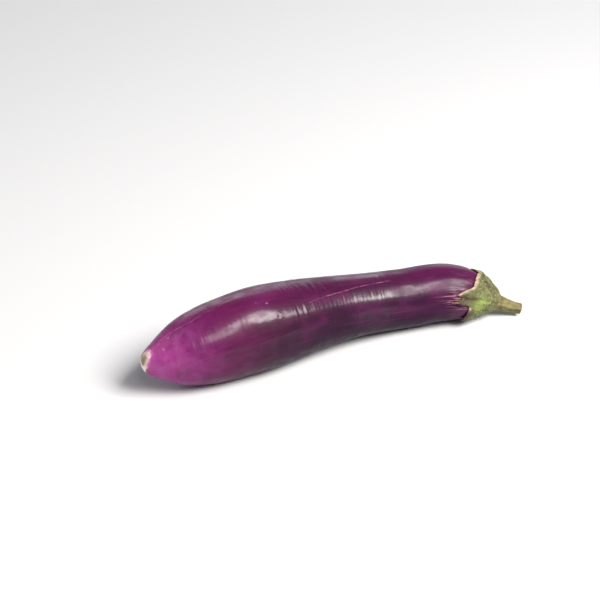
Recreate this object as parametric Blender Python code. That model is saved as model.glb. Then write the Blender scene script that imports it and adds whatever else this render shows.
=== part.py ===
"""A long purple eggplant, picked and lying on its side.

It has three pieces: the fruit with the scar of its flower at one end, the calyx
whose pointed sepals clasp the other end, and the cut stem. The stem points to +X,
the fruit rests on two small flat spots at z = 0, and the origin is the middle of
the footprint. Lengths are metres.
"""

import functools
import math

import bmesh
import bpy
import numpy as np
from mathutils import Vector, noise

# The fruit, along X from the flower's scar, which bulges a little past 0, to the end under the calyx.
SCAR_X = -0.0014
FRUIT_END_X = 0.2205
BELLY_RADIUS = 0.0251
NECK_RADIUS = 0.0183
SCAR_RADIUS = 0.0056

# The calyx and the stem go on from the fruit along the same spine.
COLLAR_X = 0.2300
COLLAR_RADIUS = 0.0046
STEM_END_X = 0.2420
STEM_RADIUS = 0.0036
STEM_END_RADIUS = 0.0034

# The spine that all sections stand on: X, then its sideways bend and its height.
# Under the belly and the neck it is a little lower than the radius, which makes the flat spots.
SPINE = (
    (SCAR_X, 0.0000, 0.0219),
    (0.026, 0.0005, 0.0224),
    (0.073, 0.0014, 0.0243),
    (0.130, 0.0022, 0.0222),
    (0.170, 0.0000, 0.0183),
    (0.198, -0.0066, 0.0186),
    (0.216, -0.0138, 0.0155),
    (0.234, -0.0218, 0.0072),
    (0.252, -0.0298, 0.0018),
)

# Half of the fruit's outline: X and radius, from pole to pole.
OUTLINE = (
    (SCAR_X, 0.0000),
    (-0.0012, 0.0030),
    (0.0001, SCAR_RADIUS),
    (0.0030, 0.0081),
    (0.0086, 0.0116),
    (0.0215, 0.0184),
    (0.0390, 0.0228),
    (0.0560, 0.0244),
    (0.0730, BELLY_RADIUS),
    (0.0950, 0.0234),
    (0.1160, 0.0211),
    (0.1380, 0.0194),
    (0.1630, 0.0188),
    (0.1880, NECK_RADIUS),
    (0.2010, 0.0175),
    (0.2080, 0.0162),
    (0.2140, 0.0134),
    (0.2180, 0.0094),
    (0.2200, 0.0048),
    (FRUIT_END_X, 0.0000),
)
FRUIT_RINGS = 46
FRUIT_SIDES = 32

# A real section is never quite round: waves round it, with their depth and turn.
SECTION_WAVES = ((2, 0.010, 0.6), (3, 0.007, 2.1), (5, 0.004, 0.3))

# The calyx's outline past the fruit's shoulder: X and radius.
CAP_OUTLINE = (
    (0.2100, 0.0172),
    (0.2140, 0.0152),
    (0.2180, 0.0128),
    (0.2220, 0.0101),
    (0.2260, 0.0076),
    (COLLAR_X, COLLAR_RADIUS),
)

# The sepals: angle in degrees from the top towards -Y, X of the tip, lift of the tip.
SEPALS = (
    (-40, 0.2112, 0.0003),
    (65, 0.1994, 0.0004),
    (79, 0.1962, 0.0003),
    (128, 0.2064, 0.0012),
    (206, 0.2030, 0.0004),
    (270, 0.2010, 0.0011),
)
# The notches after each sepal: angle and X.
NOTCHES = (
    (8, 0.2122),
    (72, 0.2035),
    (91, 0.2090),
    (170, 0.2120),
    (240, 0.2115),
    (294, 0.2130),
)
SEPAL_TAPER = 2.6
# Waves in the edge between them: middle and width in degrees, and how far it moves along X.
EDGE_WAVES = ((24, 9, -0.0010), (47, 8, 0.0020), (-8, 9, 0.0012))
CALYX_THICKNESS = 0.0014
SEPAL_EDGE = 0.0008
CAP_ROWS = 15
LINING_ROWS = 8
DEGREES_PER_COLUMN = 5.0
MIDRIB_HEIGHT = 0.0006
MIDRIB_WIDTH = math.radians(7)
CALYX_LUMPS = 0.00035
LUMP_SIZE = 0.0045

STEM_SIDES = 20
STEM_RINGS = 12
STEM_RIDGES = 5
STEM_RIDGE_SHARE = 0.07
STEM_TWIST = math.radians(35)
PITH_DEPTH = 0.0006

# Pieces that touch in the real one stand this far apart.
TOUCHING_GAP = 0.0003


def through(stations, values, at):
    """A smooth curve through the values at the stations, read at each point asked for."""
    stations, values, at = (np.asarray(v, float) for v in (stations, values, at))
    slopes = np.gradient(values, stations)
    i = np.clip(np.searchsorted(stations, at) - 1, 0, len(stations) - 2)
    step = stations[i + 1] - stations[i]
    t = (at - stations[i]) / step
    return (
        values[i] * (1 + 2 * t) * (1 - t) ** 2
        + slopes[i] * step * t * (1 - t) ** 2
        + values[i + 1] * t**2 * (3 - 2 * t)
        + slopes[i + 1] * step * t**2 * (t - 1)
    )


def spine_frame(x):
    """The spine's point at x, with the directions up and towards -Y across it."""
    stations, sideways, heights = zip(*SPINE)
    reach = 0.002

    def point(at):
        return Vector((at, through(stations, sideways, at), through(stations, heights, at)))

    along = (point(x + reach) - point(x - reach)).normalized()
    side = along.cross(Vector((0, 0, 1))).normalized()
    return point(x), side.cross(along), side


def at_angle(frame, angle, radius):
    """The point of a section at this angle from the top, this far from the spine."""
    centre, up, side = frame
    return centre + radius * (math.cos(angle) * up + math.sin(angle) * side)


def roundness(angle, x):
    """How much larger than a circle the fruit's section is at this angle."""
    turn = 4.0 * x / FRUIT_END_X
    return 1 + sum(
        depth * math.cos(waves * angle + start + turn) for waves, depth, start in SECTION_WAVES
    )


def outline_points(outline, count):
    """Points at even steps along a smooth curve through an outline."""
    xs, radii = (np.array(column) for column in zip(*outline))
    travelled = np.concatenate(([0], np.cumsum(np.hypot(np.diff(xs), np.diff(radii)))))
    steps = np.linspace(0, travelled[-1], count)
    return list(zip(through(travelled, xs, steps).tolist(), through(travelled, radii, steps).tolist()))


@functools.cache
def fruit_curve():
    """The fruit's smooth outline as many X and their radii."""
    return tuple(zip(*outline_points(OUTLINE, 400)))


def fruit_radius(x):
    """The fruit's mean radius at x."""
    return float(np.interp(x, *fruit_curve()))


def material(name, colour, roughness):
    """A plain non-metal material of this colour."""
    made = bpy.data.materials.new(name)
    made.use_nodes = True
    shader = made.node_tree.nodes["Principled BSDF"]
    shader.inputs["Base Color"].default_value = (*colour, 1)
    shader.inputs["Roughness"].default_value = roughness
    shader.inputs["Metallic"].default_value = 0
    return made


def add_ring(bm, points):
    return [bm.verts.new(point) for point in points]


def join_rings(bm, first, second):
    """Quads between two rings of equally many vertices."""
    for i in range(len(first)):
        j = (i + 1) % len(first)
        bm.faces.new((first[i], first[j], second[j], second[i]))


def close_ring(bm, ring, middle, outwards):
    """Triangles from a ring to one vertex in its middle, at either end of a run of rings."""
    tip = bm.verts.new(middle)
    for i in range(len(ring)):
        j = (i + 1) % len(ring)
        bm.faces.new((ring[i], ring[j], tip) if outwards else (ring[j], ring[i], tip))


def add_object(name, bm, surface):
    """A smooth-shaded object of the mesh, with its faces pointing out."""
    bmesh.ops.recalc_face_normals(bm, faces=bm.faces)
    mesh = bpy.data.meshes.new(name)
    bm.to_mesh(mesh)
    bm.free()
    mesh.materials.append(surface)
    mesh.shade_smooth()
    mesh.set_sharp_from_angle(angle=math.radians(50))
    made = bpy.data.objects.new(name, mesh)
    bpy.context.scene.collection.objects.link(made)
    return made


def cut_flat_spots(bm):
    """Takes off what lies under z = 0 and closes the fruit there with flat faces."""
    everything = bm.verts[:] + bm.edges[:] + bm.faces[:]
    bmesh.ops.bisect_plane(bm, geom=everything, plane_co=(0, 0, 0), plane_no=(0, 0, -1), clear_outer=True)
    rims = [edge for edge in bm.edges if edge.is_boundary]
    bmesh.ops.holes_fill(bm, edges=rims, sides=0)


def build_fruit():
    """The fruit: rings along the spine, from the flower's scar to the end under the calyx."""
    bm = bmesh.new()
    angles = [2 * math.pi * i / FRUIT_SIDES for i in range(FRUIT_SIDES)]
    places = outline_points(OUTLINE, FRUIT_RINGS + 2)
    rings = []
    for x, radius in places[1:-1]:
        frame = spine_frame(x)
        rings.append(add_ring(bm, [at_angle(frame, a, radius * roundness(a, x)) for a in angles]))
    for first, second in zip(rings, rings[1:]):
        join_rings(bm, first, second)
    close_ring(bm, rings[0], spine_frame(places[0][0])[0], outwards=False)
    close_ring(bm, rings[-1], spine_frame(places[-1][0])[0], outwards=True)
    cut_flat_spots(bm)
    return add_object("fruit", bm, material("eggplant_skin", (0.10, 0.012, 0.075), 0.25))


def edge_wave(degrees):
    """How far the waves move the calyx's edge along X at this angle."""
    return sum(
        move * math.exp(-((math.remainder(degrees - middle, 360) / width) ** 2))
        for middle, width, move in EDGE_WAVES
    )


def calyx_columns():
    """Angle, X of the edge, share of the way to a tip, and the tip's lift, round the calyx."""
    columns = []
    for i, (tip_angle, tip_x, lift) in enumerate(SEPALS):
        before, after = NOTCHES[i - 1], NOTCHES[i]
        start = before[0] - 360 if before[0] > tip_angle else before[0]
        for (notch_angle, notch_x), rising in (((start, before[1]), True), (after, False)):
            count = max(3, round(abs(tip_angle - notch_angle) / DEGREES_PER_COLUMN))
            for step in range(count):
                share = step / count if rising else 1 - step / count
                angle = notch_angle + (tip_angle - notch_angle) * share
                edge = notch_x + (tip_x - notch_x) * share**SEPAL_TAPER + edge_wave(angle)
                columns.append((math.radians(angle), edge, share**SEPAL_TAPER, lift))
    return columns


def midrib(angle):
    """How high the rib stands at this angle: 1 on a sepal's middle line."""
    return max(
        math.exp(-((math.remainder(angle - math.radians(a), math.tau) / MIDRIB_WIDTH) ** 2))
        for a, _, _ in SEPALS
    )


def cap_radius(x):
    """The calyx's mean outer radius at x: the fruit's shoulder and the cap, whichever is wider."""
    skin = fruit_radius(x) + TOUCHING_GAP + CALYX_THICKNESS
    xs, radii = zip(*CAP_OUTLINE)
    return max(skin, float(through(xs, radii, x))) if x > xs[0] else skin


def tip_curl(x, edge, share, lift):
    """How far the calyx stands off the fruit here: most at a sepal's tip, none 10 mm further in."""
    return lift * share * max(0.0, 1 - (x - edge) / 0.010) ** 2


def calyx_outside(x, angle, edge, share, lift):
    """A point of the calyx's outer face, which turns round and smooth towards the collar."""
    inwards = min(1.0, (x - edge) / 0.006)
    towards_collar = min(1.0, (COLLAR_X - x) / 0.006)
    thickness_lost = (CALYX_THICKNESS - SEPAL_EDGE) * (1 - inwards) ** 2
    rib = MIDRIB_HEIGHT * midrib(angle) * inwards * towards_collar
    unevenness = 1 + (roundness(angle, x) - 1) * min(1.0, (COLLAR_X - x) / 0.020)
    radius = cap_radius(x) * unevenness - thickness_lost + rib + tip_curl(x, edge, share, lift)
    frame = spine_frame(x)
    lump = CALYX_LUMPS * noise.noise(at_angle(frame, angle, radius) / LUMP_SIZE)
    return at_angle(frame, angle, radius + lump * inwards * towards_collar)


def calyx_inside(x, angle, edge, share, lift):
    """A point of the calyx's inner face, which follows the fruit's skin."""
    radius = (fruit_radius(x) + TOUCHING_GAP) * roundness(angle, x)
    return at_angle(spine_frame(x), angle, radius + tip_curl(x, edge, share, lift))


def build_calyx():
    """The calyx: an outer face from the sepals' edges to the collar, and a lining over the fruit."""
    bm = bmesh.new()
    columns = calyx_columns()

    def ring(face, end, way):
        """A ring of the face, this share of the way from each column's edge to the end."""
        return add_ring(bm, [face(c[1] + (end - c[1]) * way, *c) for c in columns])

    ways_out = [row / CAP_ROWS for row in range(CAP_ROWS + 1)]
    ways_in = [math.sin(math.pi / 2 * row / LINING_ROWS) for row in range(LINING_ROWS + 1)]
    outside = [ring(calyx_outside, COLLAR_X, way) for way in ways_out]
    lining = [ring(calyx_inside, FRUIT_END_X - 0.0006, way) for way in ways_in]
    for first, second in zip(outside, outside[1:]):
        join_rings(bm, first, second)
    for first, second in zip(lining, lining[1:]):
        join_rings(bm, second, first)
    join_rings(bm, lining[0], outside[0])
    close_ring(bm, outside[-1], spine_frame(COLLAR_X)[0], outwards=True)
    close_ring(bm, lining[-1], spine_frame(FRUIT_END_X + TOUCHING_GAP)[0], outwards=False)
    return add_object("calyx", bm, material("calyx_green", (0.16, 0.19, 0.055), 0.6))


def build_stem():
    """The cut stem: ridged, slightly twisted, with a shallow pit at the cut."""
    bm = bmesh.new()
    start = COLLAR_X + TOUCHING_GAP
    middle = (start + STEM_END_X) / 2
    rings = []
    for row in range(STEM_RINGS):
        along = row / (STEM_RINGS - 1)
        x = start + (STEM_END_X - start) * along
        radius = float(through((start, middle, STEM_END_X), (COLLAR_RADIUS, STEM_RADIUS, STEM_END_RADIUS), x))
        frame = spine_frame(x)
        points = []
        for i in range(STEM_SIDES):
            angle = math.tau * i / STEM_SIDES
            ridge = 1 + STEM_RIDGE_SHARE * math.cos(STEM_RIDGES * angle + STEM_TWIST * along)
            points.append(at_angle(frame, angle, radius * ridge))
        rings.append(add_ring(bm, points))
    for first, second in zip(rings, rings[1:]):
        join_rings(bm, first, second)
    close_ring(bm, rings[0], spine_frame(start)[0], outwards=False)
    close_ring(bm, rings[-1], spine_frame(STEM_END_X - PITH_DEPTH)[0], outwards=True)
    return add_object("stem", bm, material("stem_olive", (0.20, 0.20, 0.07), 0.65))


def centre_on_footprint(pieces):
    """Moves the pieces so that the origin is the middle of the space they take, at its base."""
    corners = np.array([vertex.co for piece in pieces for vertex in piece.data.vertices])
    low, high = corners.min(0), corners.max(0)
    shift = Vector((-(low[0] + high[0]) / 2, -(low[1] + high[1]) / 2, 0))
    for piece in pieces:
        piece.location = shift


def main():
    for old in list(bpy.data.objects):
        bpy.data.objects.remove(old)
    centre_on_footprint([build_fruit(), build_calyx(), build_stem()])


main()
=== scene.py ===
"""A long purple eggplant lying on a pale table.

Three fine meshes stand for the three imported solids: the waxy fruit with the scar of
its flower, the leathery calyx, and the cut stem. They are made from the same named
sizes as the solids, so they keep their places. Lengths are metres. Places along the
fruit run from the scar to the stem, and angles go round it, from the top to the front.
"""

from __future__ import annotations

import logging
import math
from dataclasses import dataclass, field
from enum import Enum

import bmesh
import bpy
import numpy as np
from mathutils import Matrix, Vector, noise

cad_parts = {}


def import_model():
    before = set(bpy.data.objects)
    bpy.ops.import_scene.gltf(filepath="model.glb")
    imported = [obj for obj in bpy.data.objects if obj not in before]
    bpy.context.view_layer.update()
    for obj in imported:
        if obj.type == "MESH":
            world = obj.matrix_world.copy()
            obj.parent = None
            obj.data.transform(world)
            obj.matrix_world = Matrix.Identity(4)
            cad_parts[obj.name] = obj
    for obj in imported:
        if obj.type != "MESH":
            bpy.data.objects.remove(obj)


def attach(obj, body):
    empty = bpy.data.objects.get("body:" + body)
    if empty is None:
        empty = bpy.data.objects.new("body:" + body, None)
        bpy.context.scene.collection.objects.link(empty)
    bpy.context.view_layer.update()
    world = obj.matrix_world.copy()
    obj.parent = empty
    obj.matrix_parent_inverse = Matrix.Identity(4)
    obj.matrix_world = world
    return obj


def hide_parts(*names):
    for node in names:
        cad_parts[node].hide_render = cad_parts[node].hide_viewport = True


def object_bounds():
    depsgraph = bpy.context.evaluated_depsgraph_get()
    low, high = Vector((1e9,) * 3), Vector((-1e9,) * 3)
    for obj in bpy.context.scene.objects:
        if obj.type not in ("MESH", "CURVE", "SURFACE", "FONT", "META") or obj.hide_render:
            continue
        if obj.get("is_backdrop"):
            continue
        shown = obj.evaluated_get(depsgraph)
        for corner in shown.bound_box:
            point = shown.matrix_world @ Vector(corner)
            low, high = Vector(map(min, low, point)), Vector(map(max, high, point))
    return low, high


LOG = logging.getLogger("eggplant")

Socket = bpy.types.NodeSocket
Pairs = tuple[tuple[float, float], ...]
Stops = tuple[tuple[float, str], ...]
# A length along each axis of a straight fruit.
Size = tuple[float, float, float]
# Rings of relief round a middle: the height, the distance from it, and the half width of each.
Rings = tuple[tuple[float, float, float], ...]
# Where a pattern starts to tell and where it tells fully, its largest share, and its colour.
Tone = tuple[float, float, float, str]

MM = 0.001
# How far apart in the noise two layers are read.
SEED_STEP = 17.3
# What a material's map leaves free round its edge.
MAP_MARGIN = 0.004
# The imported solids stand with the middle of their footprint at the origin: what that moved them by.
FOOTPRINT_SHIFT = np.array((-0.12112, 0.00094, 0.0))
# On a straight fruit, with the front along its second axis: the scar sits high on the end, and
# is narrower than it is tall, so distances from it are stretched across it.
SCAR_MIDDLE = (-0.9 * MM, 0.8 * MM, 3.8 * MM)
SCAR_STRETCH = (1.0, 1.45, 0.85)
# How high the middle of the fruit lies over the table: where the lights and the camera point.
SPINE_HEIGHT = 20 * MM


class Coat(Enum):
    """The finishes of the record, by the name of their slot."""

    SKIN = "skin"
    CALYX = "calyx"
    STEM = "stem"


def through(stations: np.ndarray, values: np.ndarray, at: np.ndarray) -> np.ndarray:
    """Reads a smooth curve that passes through values at stations.

    Args:
        stations: where the values are known, rising.
        values: the values there.
        at: where the curve is asked for.

    Returns:
        The curve's values at those places.
    """
    stations, values, at = (np.asarray(v, float) for v in (stations, values, at))
    slopes = np.gradient(values, stations)
    i = np.clip(np.searchsorted(stations, at) - 1, 0, len(stations) - 2)
    step = stations[i + 1] - stations[i]
    t = (at - stations[i]) / step
    return (
        values[i] * (1 + 2 * t) * (1 - t) ** 2
        + slopes[i] * step * t * (1 - t) ** 2
        + values[i + 1] * t**2 * (3 - 2 * t)
        + slopes[i + 1] * step * t**2 * (t - 1)
    )


def along_outline(outline: Pairs, count: int) -> tuple[np.ndarray, np.ndarray]:
    """Walks along a smooth outline in even steps.

    Args:
        outline: places along the fruit, each with a radius.
        count: how many points to give.

    Returns:
        The points' places along the fruit, and their radii.
    """
    xs, radii = (np.array(column) for column in zip(*outline))
    travelled = np.concatenate(([0], np.cumsum(np.hypot(np.diff(xs), np.diff(radii)))))
    steps = np.linspace(0, travelled[-1], count)
    return through(travelled, xs, steps), through(travelled, radii, steps)


def rise(low: float, high: float, values: np.ndarray) -> np.ndarray:
    """A smooth step from 0 at low to 1 at high, which may be the lower number."""
    t = np.clip((values - low) / (high - low), 0, 1)
    return t * t * (3 - 2 * t)


def hump(values: np.ndarray, width: float) -> np.ndarray:
    """A smooth hump of height 1 at zero, of about this half width."""
    return np.exp(-((values / width) ** 2))


def turn_from(angle: np.ndarray, degrees: float) -> np.ndarray:
    """The shortest turn to each angle from one in degrees, in degrees."""
    return (np.degrees(angle) - degrees + 180) % 360 - 180


def grain(points: np.ndarray, cell: Size | float, seed: float) -> np.ndarray:
    """Smooth noise of about -1 to 1 at each point, with cells of this size; the seed shifts it."""
    places = (points / np.asarray(cell) + seed * SEED_STEP).reshape(-1, 3).tolist()
    return np.array([noise.noise(place) for place in places]).reshape(points.shape[:-1])


def unbend(x: np.ndarray, angle: np.ndarray, radius: np.ndarray) -> np.ndarray:
    """The points' places if the fruit were straight, which its patterns follow."""
    return np.stack(np.broadcast_arrays(x, radius * np.sin(angle), radius * np.cos(angle)), axis=-1)


@dataclass(frozen=True)
class Strip:
    """A soft-edged strip that runs along one side: its angle and half width, in degrees."""

    angle: float
    turn: float
    strength: float = 1.0

    def over(self, angle: np.ndarray) -> np.ndarray:
        """How strongly the strip covers each angle."""
        return self.strength * hump(turn_from(angle, self.angle), self.turn)


@dataclass(frozen=True)
class Patch:
    """A soft-edged patch: its place along the fruit, its half length, and the strip it is in."""

    x: float
    length: float
    strip: Strip

    def over(self, x: np.ndarray, angle: np.ndarray) -> np.ndarray:
        """How strongly the patch covers each point."""
        return hump(x - self.x, self.length) * self.strip.over(angle)


@dataclass(frozen=True)
class Spine:
    """The bent line that runs through the fruit, the calyx and the stem."""

    # Places along the fruit, each with its shift to the back and its height.
    stations: tuple[tuple[float, float, float], ...] = (
        (-0.0014, 0.0000, 0.0219),
        (0.026, 0.0005, 0.0224),
        (0.073, 0.0014, 0.0243),
        (0.130, 0.0022, 0.0222),
        (0.170, 0.0000, 0.0183),
        (0.198, -0.0066, 0.0186),
        (0.216, -0.0138, 0.0155),
        (0.234, -0.0218, 0.0072),
        (0.252, -0.0298, 0.0018),
    )
    # How far to either side the line is read to find its direction.
    reach: float = 2 * MM

    def points(self, x: np.ndarray) -> np.ndarray:
        """The spine's points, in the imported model's frame.

        Args:
            x: places along the fruit.

        Returns:
            An array of points, with their coordinates last.
        """
        xs, sideways, heights = (np.array(column) for column in zip(*self.stations))
        line = np.stack([x, through(xs, sideways, x), through(xs, heights, x)], axis=-1)
        return line + FOOTPRINT_SHIFT

    def at_angle(self, x: np.ndarray, angle: np.ndarray, radius: np.ndarray) -> np.ndarray:
        """Finds points round the spine.

        Args:
            x: places along the fruit.
            angle: turns from the top towards the front, in radians.
            radius: distances from the spine.

        Returns:
            An array of points, with their coordinates last.
        """
        x, angle, radius = np.broadcast_arrays(x, angle, radius)
        along = self.points(x + self.reach) - self.points(x - self.reach)
        along /= np.linalg.norm(along, axis=-1, keepdims=True)
        side = np.cross(along, (0.0, 0.0, 1.0))
        side /= np.linalg.norm(side, axis=-1, keepdims=True)
        up = np.cross(side, along)
        outward = np.cos(angle)[..., None] * up + np.sin(angle)[..., None] * side
        return self.points(x) + radius[..., None] * outward


@dataclass
class RingMesh:
    """A closed mesh of equal rings with a point at either end."""

    name: str
    rings: np.ndarray
    first_tip: np.ndarray
    last_tip: np.ndarray
    values: dict[str, np.ndarray] = field(default_factory=dict)

    def build(self) -> bpy.types.Object:
        """Makes the object, with its values for each point and a map that follows the rings.

        Returns:
            A smooth-shaded object in the scene.
        """
        rows, columns = self.rings.shape[:2]
        points = np.concatenate([self.rings.reshape(-1, 3), [self.first_tip, self.last_tip]])
        grid = np.arange(rows * columns).reshape(rows, columns)
        after = np.roll(grid, -1, axis=1)
        quads = np.stack([grid[:-1], after[:-1], after[1:], grid[1:]], axis=-1).reshape(-1, 4)
        start = [(b, a, rows * columns) for a, b in zip(grid[0], after[0])]
        end = [(a, b, rows * columns + 1) for a, b in zip(grid[-1], after[-1])]
        faces = quads.tolist() + [tuple(int(v) for v in face) for face in start + end]
        mesh = bpy.data.meshes.new(self.name)
        mesh.from_pydata(points.tolist(), [], faces)
        self._face_outwards(mesh)
        for label, values in self.values.items():
            self._store(mesh, label, values)
        self._map(mesh, rows, columns)
        mesh.shade_smooth()
        made = bpy.data.objects.new(self.name, mesh)
        bpy.context.scene.collection.objects.link(made)
        return made

    @staticmethod
    def _face_outwards(mesh: bpy.types.Mesh) -> None:
        """Turns every face so that it points out.

        Args:
            mesh: the closed mesh.
        """
        bm = bmesh.new()
        bm.from_mesh(mesh)
        bmesh.ops.recalc_face_normals(bm, faces=bm.faces)
        bm.to_mesh(mesh)
        bm.free()

    @staticmethod
    def _store(mesh: bpy.types.Mesh, label: str, values: np.ndarray) -> None:
        """Stores a number or a vector for each point of the rings; the tips take their ring's mean.

        Args:
            mesh: the mesh that gets them.
            label: the attribute's name.
            values: an array with the shape of the rings, and three numbers each for a vector.
        """
        ends = np.stack([values[0].mean(axis=0), values[-1].mean(axis=0)])
        kind, key = ("FLOAT_VECTOR", "vector") if values.ndim == 3 else ("FLOAT", "value")
        flat = np.concatenate([values.reshape(-1, *values.shape[2:]), ends])
        stored = mesh.attributes.new(label, kind, "POINT")
        stored.data.foreach_set(key, flat.ravel().astype(np.float32))

    @staticmethod
    def _map(mesh: bpy.types.Mesh, rows: int, columns: int) -> None:
        """Lays the surface out flat, the rings across it, as the place for baked colours.

        Args:
            mesh: the mesh that gets the map.
            rows: how many rings it has.
            columns: how many points a ring has.
        """
        layer = mesh.uv_layers.new(name="OFBake")
        corners = np.empty(len(mesh.loops), dtype=np.int64)
        mesh.loops.foreach_get("vertex_index", corners)
        tips = corners >= rows * columns
        down = np.where(tips, np.where(corners == rows * columns, -1, rows), corners // columns)
        across = (corners % columns).astype(float)
        sizes = np.empty(len(mesh.polygons), dtype=np.int64)
        mesh.polygons.foreach_get("loop_total", sizes)
        owner = np.repeat(np.arange(len(sizes)), sizes)
        across[tips] = np.nan
        widest = np.full(len(sizes), -1.0)
        np.fmax.at(widest, owner, across)
        across = np.where((widest[owner] == columns - 1) & (across == 0), columns, across)
        both = np.zeros(len(sizes))
        np.add.at(both, owner, np.nan_to_num(across))
        across = np.where(tips, both[owner] / 2, across)
        uv = np.stack([across / columns, (down + 1) / (rows + 1)], axis=-1)
        uv = MAP_MARGIN + (1 - 2 * MAP_MARGIN) * uv
        layer.data.foreach_set("uv", uv.ravel().astype(np.float32))


def linear(hex_colour: str) -> tuple[float, float, float, float]:
    """Turns an sRGB hex colour, such as 7A2E63, into linear numbers with full alpha."""
    parts = [int(hex_colour[i : i + 2], 16) / 255 for i in (0, 2, 4)]
    return (*[p / 12.92 if p <= 0.04045 else ((p + 0.055) / 1.055) ** 2.4 for p in parts], 1.0)


# Map Range and Mix take their inputs by number: 0 is the value or the share. Of Map Range, 1 and 2
# are the range it comes from and 3 and 4 the one it goes to, and of Mix, 1 and 2 are the colours.
EASED = {"interpolation_type": "SMOOTHSTEP"}


class Finish:
    """A procedural material; each kind of surface has a class of its own."""

    name = "finish"
    ior = 1.45

    def __init__(self) -> None:
        """Starts an empty material with one shader."""
        self.material = bpy.data.materials.new(self.name)
        self.material.use_nodes = True
        self.shader = self.material.node_tree.nodes["Principled BSDF"]
        self.feed(self.shader, {"Metallic": 0.0, "IOR": self.ior})

    def add(
        self, kind: str, links: dict | None = None, give: int | str = 0, **settings: object
    ) -> Socket:
        """Adds a node, with its settings and links.

        Args:
            kind: the node's type, without its leading ShaderNode.
            links: a socket, a number or a hex colour for each input, by name or number.
            give: the output wanted, by name or number.
            **settings: the node's own properties; stops gives a ramp's places and hex colours.

        Returns:
            The output socket that was asked for.
        """
        node = self.material.node_tree.nodes.new("ShaderNode" + kind)
        for place, (at, colour) in enumerate(settings.pop("stops", ())):
            ramp = node.color_ramp.elements
            stop = ramp[0] if place == 0 else ramp[1] if place == 1 else ramp.new(at)
            stop.position, stop.color = at, linear(colour)
        for label, value in settings.items():
            setattr(node, label, value)
        self.feed(node, links or {})
        return node.outputs[give]

    def feed(self, node: bpy.types.Node, links: dict) -> None:
        """Links or sets a node's inputs.

        Args:
            node: the node.
            links: what goes into each input, as for add.
        """
        for key, value in links.items():
            if isinstance(value, Socket):
                self.material.node_tree.links.new(value, node.inputs[key])
            else:
                node.inputs[key].default_value = linear(value) if isinstance(value, str) else value

    def cells(self, place: Socket, size: Size, detail: float) -> Socket:
        """Adds a soft random pattern.

        Args:
            place: the place on a straight fruit.
            size: how large its cells are along each axis, in millimetres.
            detail: how many finer layers it has.

        Returns:
            A share, mostly between 0.3 and 0.7.
        """
        scale = [1 / MM / length for length in size]
        place = self.add("VectorMath", {0: place, 1: scale}, operation="MULTIPLY")
        return self.add("TexNoise", {0: place, "Scale": 1.0, "Detail": detail})

    def toned(self, colour: Socket, pattern: Socket, *tones: Tone) -> Socket:
        """Lays tones over a colour, each where a pattern or a distance calls for it.

        Args:
            colour: the colour so far.
            pattern: the pattern's values, or the distances.
            *tones: what to lay over it, in order.

        Returns:
            The colour with the tones in it.
        """
        for start, full, most, over in tones:
            share = self.add("MapRange", {0: pattern, 1: start, 2: full, 4: most}, **EASED)
            colour = self.add("MixRGB", {0: share, 1: colour, 2: over})
        return colour

    def stained(self, colour: Socket, label: str, over: Socket | str) -> Socket:
        """Lays one colour over another, as strongly as the points' value of this name says."""
        share = self.add("Attribute", give="Fac", attribute_name=label)
        return self.add("MixRGB", {0: share, 1: colour, 2: over})


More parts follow.
